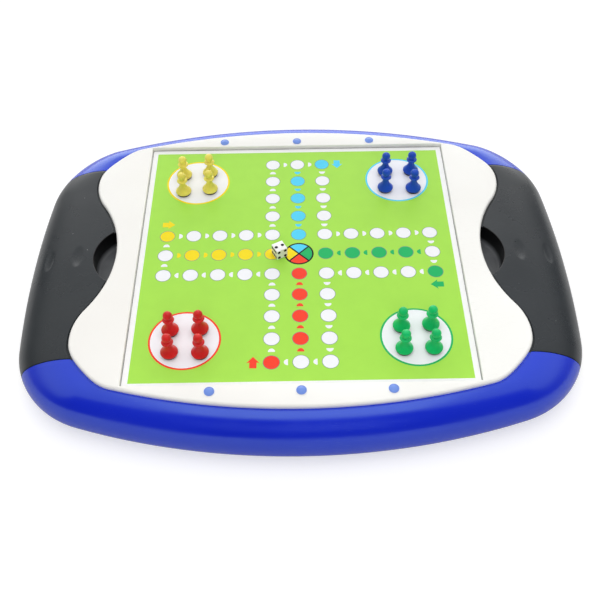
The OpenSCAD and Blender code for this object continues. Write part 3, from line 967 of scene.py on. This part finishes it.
def grip_cover():
    """the black grip: shoulder, finger dents, thumb cup, ledge under the plate, hollow below"""
    loops = []
    for y in side_rows(12, 40):
        inner = [(deck_end, y, ledge_z), (deck_end, y, roof_z), (grip_x, y, roof_z),
                 (grip_x, y, lip_z + lip_gap)]
        loops.append(side_column(y, lip_z + lip_gap) + inner)
    cover = loop_solid("right_grip_shell", loops)
    soften_seam(cover, drawer_y)
    hollow_loops = []
    for i in range(25):
        y = (drawer_y - thin) * (i / 12 - 1)
        inner = [(deck_end + thin, y, ledge_z - thin), (deck_end + thin, y, roof_z - thin),
                 (grip_x + thin, y, roof_z - thin), (grip_x + thin, y, lip_z - 2)]
        hollow_loops.append(side_column(y, lip_z - 2, ledge_z - thin, wall, 12) + inner)
    hollow = loop_solid("grip_hollow", hollow_loops)
    skin_r = cup_r + cup_skin
    skin_z = cup_floor - cup_skin
    skin = [(0, skin_z), (skin_r, skin_z), (skin_r, 40), (0, 40)]
    combine(hollow, turned("cup_skin", skin, (cup_x, 0, 0), 96))
    post = [(0, 8.95), (post_r, 8.95), (post_r, 40), (0, 40)]
    for x, y in drawer_screws:
        combine(hollow, turned("post", post, (x, y, 0), 32))
    combine(cover, hollow)
    wear(cover, black_finish)
    cup = turned("cup", cup_profile(), (cup_x, 0, 0), 128)
    wear(cup, cup_finish)
    combine(cover, cup)
    soften(cover, 32)
    return cover


def cup_profile():
    """outline of the thumb cup's hollow: floor, rounded floor edge, wall and softened rim"""
    flat_r = cup_r - cup_round
    profile = [(0.0, cup_floor), (flat_r * 0.5, cup_floor)]
    for i in range(11):
        a = radians(9 * i)
        profile.append((flat_r + cup_round * sin(a), cup_floor + cup_round * (1 - cos(a))))
    rim = 0.6
    for i in range(6):
        a = radians(78 * i / 5)
        profile.append((cup_r + rim * (1 - cos(a)), rim_h - rim + rim * sin(a)))
    last_r, last_z = profile[-1]
    return profile + [(last_r + 0.3, last_z + 1.5), (0.0, last_z + 1.5)]


def drawer_tray():
    """the tray: floor, lip under the grip, storage bay, stop lug, pads with sunk screw seats"""
    loops = []
    rows = [-drawer_y, -drawer_y + thin - 0.02, -drawer_y + thin]
    rows += [-drawer_y + thin + 2 * (drawer_y - thin) * i / 48 for i in range(1, 48)]
    rows += [drawer_y - thin, drawer_y - thin + 0.02, drawer_y]
    for y in rows:
        outer = side_column(y, run_z, lip_z)
        walled = abs(y) > drawer_y - thin + 0.01
        if walled:
            inner = [(grip_x, y, lip_z)] * 7 + [(grip_x, y, run_z + thin)]
        else:
            inner = side_column(y, run_z + thin, lip_z, wall)[::-1]
        loops.append(outer + inner + [(tray_x, y, run_z + thin), (tray_x, y, run_z)])
    tray = loop_solid("right_tray_shell", loops)
    bay_top = roof_z - bay_drop
    bay = block("bay", tray_x, grip_x, -drawer_y, drawer_y, run_z, bay_top)
    bay_y = drawer_y - thin
    combine(bay, block("bay_space", tray_x + thin, grip_x - thin, -bay_y, bay_y, run_z + thin, 60))
    combine(tray, bay, "UNION")
    lug = block("lug", tray_x, tray_x + thin, -lug_half, lug_half, bay_top - 0.4, roof_z)
    combine(tray, lug, "UNION")
    screw_bosses(tray, drawer_screws, run_z + 1, run_z + thin + pad_h, 0, run_z + head_z, 12)
    cleaned(tray)
    soften(tray)
    wear(tray, tray_finish)
    return tray


def drawers():
    """both drawers, the left one a mirror image"""
    cover, tray = grip_cover(), drawer_tray()
    left_cover = mirrored(cover, "left_grip_shell", 0)
    left_tray = mirrored(tray, "left_tray_shell", 0)
    mount(cover, "right_drawer", "black_grip", "right_grip_cover")
    mount(left_cover, "left_drawer", "black_grip", "left_grip_cover")
    mount(tray, "right_drawer", "black_drawer", "right_drawer_tray")
    mount(left_tray, "left_drawer", "black_drawer", "left_drawer_tray")


# Top plate
def plate():
    """white plate: wavy outline with a rounded top edge, square window with softened arrises"""
    outline = all_round(plate_quarter(0.0))
    window_ring = []
    half = window_w / 2
    for x, y in outline:
        k = half / max(abs(x), abs(y))
        window_ring.append((x * k, y * k))
    straight = plate_top - seat_z - plate_round
    rings = [(outline, seat_z)]
    for i in range(9):
        a = radians(90 * i / 8)
        inset = plate_round * (1 - cos(a))
        ring = []
        for x, y in all_round(plate_quarter(-inset)):
            room = 0.45
            if abs(x) < half + room and abs(y) < half + room:
                k = (half + room) / max(abs(x), abs(y))
                x, y = x * k, y * k
            ring.append((x, y))
        rings.append((ring, seat_z + straight + plate_round * sin(a)))
    soft = 0.3
    for i in range(4):
        a = radians(30 * i)
        k = (half + soft * (1 - sin(a))) / half
        rings.append(([(x * k, y * k) for x, y in window_ring], plate_top - soft * (1 - cos(a))))
    rings.append((window_ring, seat_z))
    n = len(outline)
    points = [(x, y, z) for ring, z in rings for x, y in ring]
    faces = []
    for k in range(len(rings)):
        faces += ring_faces(n, k, (k + 1) % len(rings))
    piece = mesh_object("plate_shell", points, faces, 30)
    wear(piece, white_finish)
    mount(piece, "case", "white_plate", "top_plate")
    return piece


def plate_pins():
    """six domed pins, each with a fine edge and a shallow ring"""
    profile = [(0, -9), (1.5, -9), (1.5, 0), (3.1, 0), (3.1, 0.45)]
    for i in range(1, 5):
        a = radians(22.5 * i)
        profile.append((2.9 + 0.2 * cos(a), 0.45 + 0.2 * sin(a)))
    profile += [(2.7, 0.62), (2.6, 0.52), (2.5, 0.6), (2.2, 0.78), (1.7, 0.96), (1.1, 1.12), (0.5, 1.22),
                (0, 1.25)]
    pins = [turned("pin", profile, (x, y, plate_top), 40) for x, y in screw_places]
    whole = join("plate_pin_heads", pins)
    soften(whole, 60)
    wear(whole, pin_finish)
    mount(whole, "case", "blue_pin", "plate_pins")
    return whole


# Board card and its print
def card_xy(col, row):
    """middle of a field of the track, counted from its centre, right and to the back"""
    return col * field, card_y + row * field


def board():
    """card with its white edge and the green ground"""
    half = card_w / 2 + card_grown
    z = card_top - 3 * INK_T
    loops = []
    for inset, height in ((0.1, seat_z), (0.0, seat_z + 0.1), (0.0, z - 0.1), (0.1, z)):
        r = half - inset
        low, high = card_y - r, card_y + r
        loops.append([(-r, low, height), (r, low, height), (r, high, height), (-r, high, height)])
    card = loop_solid("board_card_sheet", loops)
    wear(card, ink["paper"])
    mount(card, "board_card", "board_card", "board_card")
    r = ground_half
    ground = block("green_ground", -r, r, card_y - r, card_y + r, z - INK_T, z + INK_T)
    wear(ground, ink["green_ground"])
    mount(ground, "board_card", "board_card")
    return card


def stamp_tree():
    """Geometry Nodes: a round disc of ink on every point of a mesh"""
    tree = bpy.data.node_groups.new("ink_discs", "GeometryNodeTree")
    side = tree.interface
    side.new_socket("Geometry", in_out="INPUT", socket_type="NodeSocketGeometry")
    for label, kind in (("Diameter", "NodeSocketFloat"), ("Ink height", "NodeSocketFloat"),
                        ("Ink", "NodeSocketMaterial")):
        side.new_socket(label, in_out="INPUT", socket_type=kind)
    side.new_socket("Geometry", in_out="OUTPUT", socket_type="NodeSocketGeometry")
    given = tree.nodes.new("NodeGroupInput").outputs
    thick = given["Ink height"]
    disc = add_node(tree, "GeometryNodeMeshCylinder", {
        "Vertices": 48, "Radius": worked_out(tree, "MULTIPLY", given["Diameter"], 0.5), "Depth": thick})
    lift = add_node(tree, "ShaderNodeCombineXYZ", {"Z": worked_out(tree, "MULTIPLY", thick, 0.5)})
    raised = add_node(tree, "GeometryNodeTransform", {
        "Geometry": disc.outputs["Mesh"], "Translation": lift.outputs["Vector"]})
    spread = add_node(tree, "GeometryNodeInstanceOnPoints", {
        "Points": given["Geometry"], "Instance": raised.outputs["Geometry"]})
    real = add_node(tree, "GeometryNodeRealizeInstances", {"Geometry": spread.outputs["Instances"]})
    paint = add_node(tree, "GeometryNodeSetMaterial", {
        "Geometry": real.outputs["Geometry"], "Material": given["Ink"]})
    add_node(tree, "NodeGroupOutput", {"Geometry": paint.outputs["Geometry"]})
    return tree


def stamped(name, tree, places, diameter, layers, finish):
    """the tree's discs at those places, so many layers of ink high, made a plain mesh"""
    base = card_top - 2 * INK_T
    mesh = bpy.data.meshes.new(name)
    mesh.from_pydata([(x * MM, y * MM, base * MM) for x, y in places], [], [])
    obj = placed(name, mesh)
    step = obj.modifiers.new("discs", "NODES")
    step.node_group = tree
    values = {"Diameter": diameter * MM, "Ink height": layers * INK_T * MM, "Ink": finish.material}
    for item in tree.interface.items_tree:
        if item.in_out == "INPUT" and item.name in values:
            step[item.identifier] = values[item.name]
    settle(obj)
    mount(obj, "board_card", "board_card")
    return obj


def outlined(name, tree, places, diameter, line, fill, outline):
    """fields with an outline: a disc in the outline's ink, and a smaller, thicker one on it"""
    stamped(name + "_outlines", tree, places, diameter, 1, outline)
    stamped(name, tree, places, diameter - 2 * line, 2, fill)


def track_cells():
    """the cells of the cross-shaped track, by ink"""
    inks = {(k * dx, k * dy): key for key, (dx, dy) in SIDES.items() for k in range(1, 5)}
    inks.update({(5 * dx + dy, 5 * dy - dx): key for key, (dx, dy) in SIDES.items()})
    cells = {"white": [], "yellow": [], "cyan": [], "green": [], "red": []}
    for col in range(-5, 6):
        for row in range(-5, 6):
            if max(abs(col), abs(row)) >= 1 and min(abs(col), abs(row)) <= 1:
                cells[inks.get((col, row), "white")].append((col, row))
    return cells


def prism(name, outline, z0, z1):
    """flat shape from its outline"""
    return loop_solid(name, [[(x, y, z) for x, y in outline] for z in (z0, z1)])


def turned_outline(outline, x, y, angle):
    """an outline turned and set down at a point"""
    c, s = cos(radians(angle)), sin(radians(angle))
    return [(x + px * c - py * s, y + px * s + py * c) for px, py in outline]


def mark_outline():
    """half-round direction mark that points along +x"""
    points = [(-1.1, -2.2), (-0.2, -2.2)]
    for i in range(7):
        a = radians(-60 + 20 * i)
        points.append((-0.1 + 1.6 * cos(a), 1.8 * sin(a)))
    return points + [(-0.2, 2.2), (-1.1, 2.2)]


def arrow_outline():
    """short arrow that points along +x"""
    return [(-4.2, -2.2), (0.2, -2.2), (-0.4, -4.1), (4.4, 0), (-0.4, 4.1), (0.2, 2.2), (-4.2, 2.2)]


def direction_marks():
    """marks between neighbouring fields, clockwise round the track and inwards in the home lanes"""
    path = []
    col, row = -5, 1
    ahead = 1, 0
    for _ in range(4):
        left = -ahead[1], ahead[0]
        for (dx, dy), count in ((ahead, 4), (left, 4), (ahead, 2)):
            for _ in range(count):
                path.append((col + dx / 2, row + dy / 2, degrees(atan2(dy, dx)), "white"))
                col, row = col + dx, row + dy
        ahead = ahead[1], -ahead[0]
    for k in range(1, 5):
        for key, (dx, dy) in SIDES.items():
            path.append(((k + 0.5) * dx, (k + 0.5) * dy, degrees(atan2(-dy, -dx)), key))
    return path


def board_print():
    """fields, direction marks, home circles, start arrows and the centre disc"""
    tree = stamp_tree()
    for key, cells in track_cells().items():
        places = [card_xy(c, r) for c, r in cells]
        outlined("fields_" + key, tree, places, FIELD_D, field_line, ink[key], ink["outline"])
    for key in ("yellow", "cyan", "red", "green"):
        dx, dy = SIDES[key]
        place = card_xy(4 * (dx + dy), 4 * (dy - dx))
        outlined("home_circle_" + key, tree, [place], home_d, home_line, ink["white"], ink[key])
    base, top = card_top - 2 * INK_T, card_top - INK_T
    marks = {}
    for col, row, angle, key in direction_marks():
        x, y = card_xy(col, row)
        mark = turned_outline(mark_outline(), x, y, angle)
        marks.setdefault(key, []).append(prism("mark", mark, base, top))
    for key, (dx, dy) in SIDES.items():
        x, y = card_xy(5 * dx + dy, 5 * dy - dx)
        angle = degrees(atan2(-dy, -dx))
        arrow = turned_outline(arrow_outline(), x + arrow_out * dy, y - arrow_out * dx, angle)
        marks[key].append(prism("arrow", arrow, base, top))
    for key, shapes in marks.items():
        whole = join("marks_" + key, shapes)
        wear(whole, ink[key])
        mount(whole, "board_card", "board_card")
    centre_disc(base, top)


def centre_disc(base, top):
    """round centre in four inks, with black lines between them"""
    r, line = centre_r, centre_line
    x0, y0 = card_xy(0, 0)
    ring = [(x0 + r * cos(radians(5 * i)), y0 + r * sin(radians(5 * i))) for i in range(72)]
    disc = prism("centre_disc_lines", ring, base, top)
    wear(disc, ink["black"])
    mount(disc, "board_card", "board_card")
    for key, middle in (("green", 0), ("cyan", 90), ("yellow", 180), ("red", 270)):
        inner, gap = r - line, line / 2
        tip = gap * sqrt(2)
        start = degrees(asin(gap / inner))
        points = [(tip, 0.0)]
        for i in range(19):
            a = radians(-45 + start + (90 - 2 * start) * i / 18)
            points.append((inner * cos(a), inner * sin(a)))
        wedge = prism("centre_wedge_" + key, turned_outline(points, x0, y0, middle), base, card_top)
        wear(wedge, ink[key])
        mount(wedge, "board_card", "board_card")


# Pawns and die
def pawn_profile():
    """turned pawn from its foot to its ball, heights above the board"""
    profile = [(0, 1.5), (5.2, 1.5), (5.42, 1.6), (5.5, 1.8), (5.5, 2.35), (5.42, 2.6)]
    for i in range(1, 15):
        s = i / 14
        profile.append((1.8 + 3.55 * (1 - s) ** 2.1, 2.7 + 8.0 * s))
    profile += [(2.1, 10.85), (3.0, 11.05), (3.5, 11.3), (3.7, 11.65), (3.62, 12.0), (3.2, 12.3),
                (2.5, 12.45), (1.95, 12.6), (1.72, 12.9)]
    ball_r, ball_z = 2.95, 15.55
    start = -55
    for i in range(15):
        a = radians(start + (90 - start) * i / 14)
        profile.append((ball_r * cos(a) if i < 14 else 0.0, ball_z + ball_r * sin(a)))
    return profile


def pawns():
    """sixteen turned pawns on their magnets' places"""
    profile = pawn_profile()
    for colour in COLOURS:
        for i in range(1, 5):
            body = f"{colour}_pawn_{i}"
            low, high = node_box(f"{colour}_magnet_{i}")
            centre = (low[0] + high[0]) / 2, (low[1] + high[1]) / 2, card_top
            piece = turned(f"{colour}_pawn_turned_{i}", profile, centre, 56)
            soften(piece, 50)
            wear(piece, pawn_finish[colour])
            mount(piece, body, "pawn_" + colour, body)
            wear_node(f"{colour}_magnet_{i}", magnet_finish)


def wear_node(name, finish):
    """repaints a CAD node"""
    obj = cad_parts[name]
    obj.data.materials.clear()
    obj.data.materials.append(finish.material)


def pip_spots(count, p):
    """places of a face's pips"""
    corners = [(-p, -p), (p, p)]
    others = [(-p, p), (p, -p)]
    sides = [(-p, 0), (p, 0)]
    middle = [(0, 0)]
    table = {1: middle, 2: sides, 3: corners + middle, 4: corners + others, 5: corners + others + middle,
             6: corners + others + sides}
    return table[count]


def die_piece():
    """white die with rounded edges and sunk black pips"""
    edge, soft, steps = 8.0, 0.4, 4
    pip_out, die_turn = 2.33, 27.8
    low, high = node_box("die")
    centre = [(a + b) / 2 for a, b in zip(low, high)]
    centre[2] = card_top + edge / 2
    bm = bmesh.new()
    bmesh.ops.create_cube(bm, size=edge * MM)
    bmesh.ops.bevel(bm, geom=list(bm.edges), offset=soft * MM, segments=steps, profile=0.5, affect="EDGES")
    cube = from_bmesh("die_rounded", bm)
    wear(cube, die_finish)
    faces = {2: (0, "X"), 5: (180, "X"), 4: (90, "X"), 3: (-90, "X"), 6: (-90, "Y"), 1: (90, "Y")}
    pip_r, bm = 1.15, bmesh.new()
    for count, (angle, axis) in faces.items():
        turn = Matrix.Rotation(radians(angle), 3, axis)
        for x, y in pip_spots(count, pip_out):
            spot = turn @ Vector((x, y, edge / 2 + 0.3))
            place = Matrix.Translation(spot * MM)
            bmesh.ops.create_uvsphere(bm, u_segments=20, v_segments=12, radius=pip_r * MM, matrix=place)
    pips = from_bmesh("pips", bm)
    wear(pips, pip_finish)
    combine(cube, pips)
    cube.data.transform(Matrix.Translation(Vector(centre) * MM) @ Matrix.Rotation(radians(die_turn), 4, "Z"))
    soften(cube, 40)
    mount(cube, "die", "die_white", "die")
    return cube


# Studio
def studio():
    """pale floor, soft light and the camera"""
    size = 6.0
    points = [(-size, -size, 0), (size, -size, 0), (size, size, 0), (-size, size, 0)]
    mesh = bpy.data.meshes.new("floor")
    mesh.from_pydata(points, [], [(0, 1, 2, 3)])
    floor = placed("floor", mesh)
    f = Finish("floor_paper", (205, 205, 205), 0.9)
    f.set("Roughness", f.ramp(f.noise(3, 3), 0.3, 0.7, 0.85, 0.95))
    rays = f.tree.nodes.new("ShaderNodeLightPath").outputs
    seen = f.times(rays["Is Camera Ray"], floor_glow)
    mirrored_glow = f.times(rays["Is Glossy Ray"], floor_mirrored)
    strength = worked_out(f.tree, "ADD", seen, mirrored_glow)
    glow = add_node(f.tree, "ShaderNodeEmission", {"Color": (1, 1, 1, 1), "Strength": strength})
    both = add_node(f.tree, "ShaderNodeAddShader", {0: f.shader.outputs[0], 1: glow.outputs[0]})
    feed(f.tree, f.tree.nodes["Material Output"], {"Surface": both.outputs[0]})
    floor.data.materials.append(f.material)
    lamps()
    camera()


def lamp(name, place, size, power):
    """soft lamp aimed at the middle of the case"""
    data = bpy.data.lights.new(name, "AREA")
    data.shape = "RECTANGLE"
    data.size, data.size_y = size
    data.energy = power
    obj = placed(name, data)
    obj.location = place
    obj.rotation_euler = (-Vector(place)).to_track_quat("-Z", "Y").to_euler()
    return obj


def lamps():
    """overhead softbox, and a pale light tent that is open, and so dark, towards the camera"""
    lamp("softbox", (0.0, 0.0, 1.3), (0.95, 0.95), softbox_power)
    front = lamp("front_fill", (0.0, -1.2, 0.9), (1.0, 0.7), fill_power)
    front.visible_glossy = False
    world = bpy.data.worlds.new("light_tent")
    bpy.context.scene.world = world
    world.use_nodes = True
    tree = world.node_tree
    where = tree.nodes.new("ShaderNodeTexCoord").outputs["Generated"]
    split = add_node(tree, "ShaderNodeSeparateXYZ", {"Vector": where}).outputs

    def step(value, low, high, a, b):
        return ranged(tree, value, low, high, a, b, interpolation_type="SMOOTHSTEP")

    cloth = worked_out(tree, "MULTIPLY", step(split["Z"], 0.22, 0.55, 0.0, tent_light),
                       step(split["Y"], -0.44, -0.32, 0.0, 1.0))
    sides = step(split["Y"], -0.7, 0.1, 0.06, 0.26)
    backdrop = step(split["Y"], 0.70, 0.92, 0.0, 2.4)
    tent = worked_out(tree, "ADD", worked_out(tree, "ADD", cloth, sides), backdrop)
    seen = tree.nodes.new("ShaderNodeLightPath").outputs["Is Camera Ray"]
    pick = add_node(tree, "ShaderNodeMix", {"Factor": seen, "A": tent, "B": 1.0}, data_type="FLOAT")
    feed(tree, tree.nodes["Background"], {"Strength": pick.outputs["Result"], "Color": (1, 1, 1, 1)})


def camera():
    """the photograph's view: 49.95 degrees above the board, almost square on"""
    azimuth, elevation, roll = radians(camera_azimuth), radians(camera_elevation), radians(camera_roll)
    target = Vector(camera_target) * MM
    distance = camera_distance * MM
    back = Vector((sin(azimuth) * cos(elevation), -cos(azimuth) * cos(elevation), sin(elevation)))
    right = Vector((cos(azimuth), sin(azimuth), 0.0))
    up = back.cross(right)
    right, up = cos(roll) * right + sin(roll) * up, cos(roll) * up - sin(roll) * right
    data = bpy.data.cameras.new("photo_camera")
    data.sensor_fit = "HORIZONTAL"
    data.sensor_width = sensor
    data.lens = sensor * focal_pixels / photo_pixels
    data.clip_start = 0.02
    data.clip_end = 50
    obj = placed("photo_camera", data)
    turn = Matrix((right, up, back)).transposed().to_4x4()
    obj.matrix_world = Matrix.Translation(target + back * distance) @ turn
    bpy.context.scene.camera = obj


upper_shell()
lower_shell()
drawers()
plate()
plate_pins()
board()
board_print()
pawns()
die_piece()
wear_node("steel_sheet", steel_finish)
for screws in ("case_screws", "left_drawer_screws", "right_drawer_screws"):
    wear_node(screws, zinc_finish)
studio()

bpy.context.scene.view_settings.view_transform = "Standard"
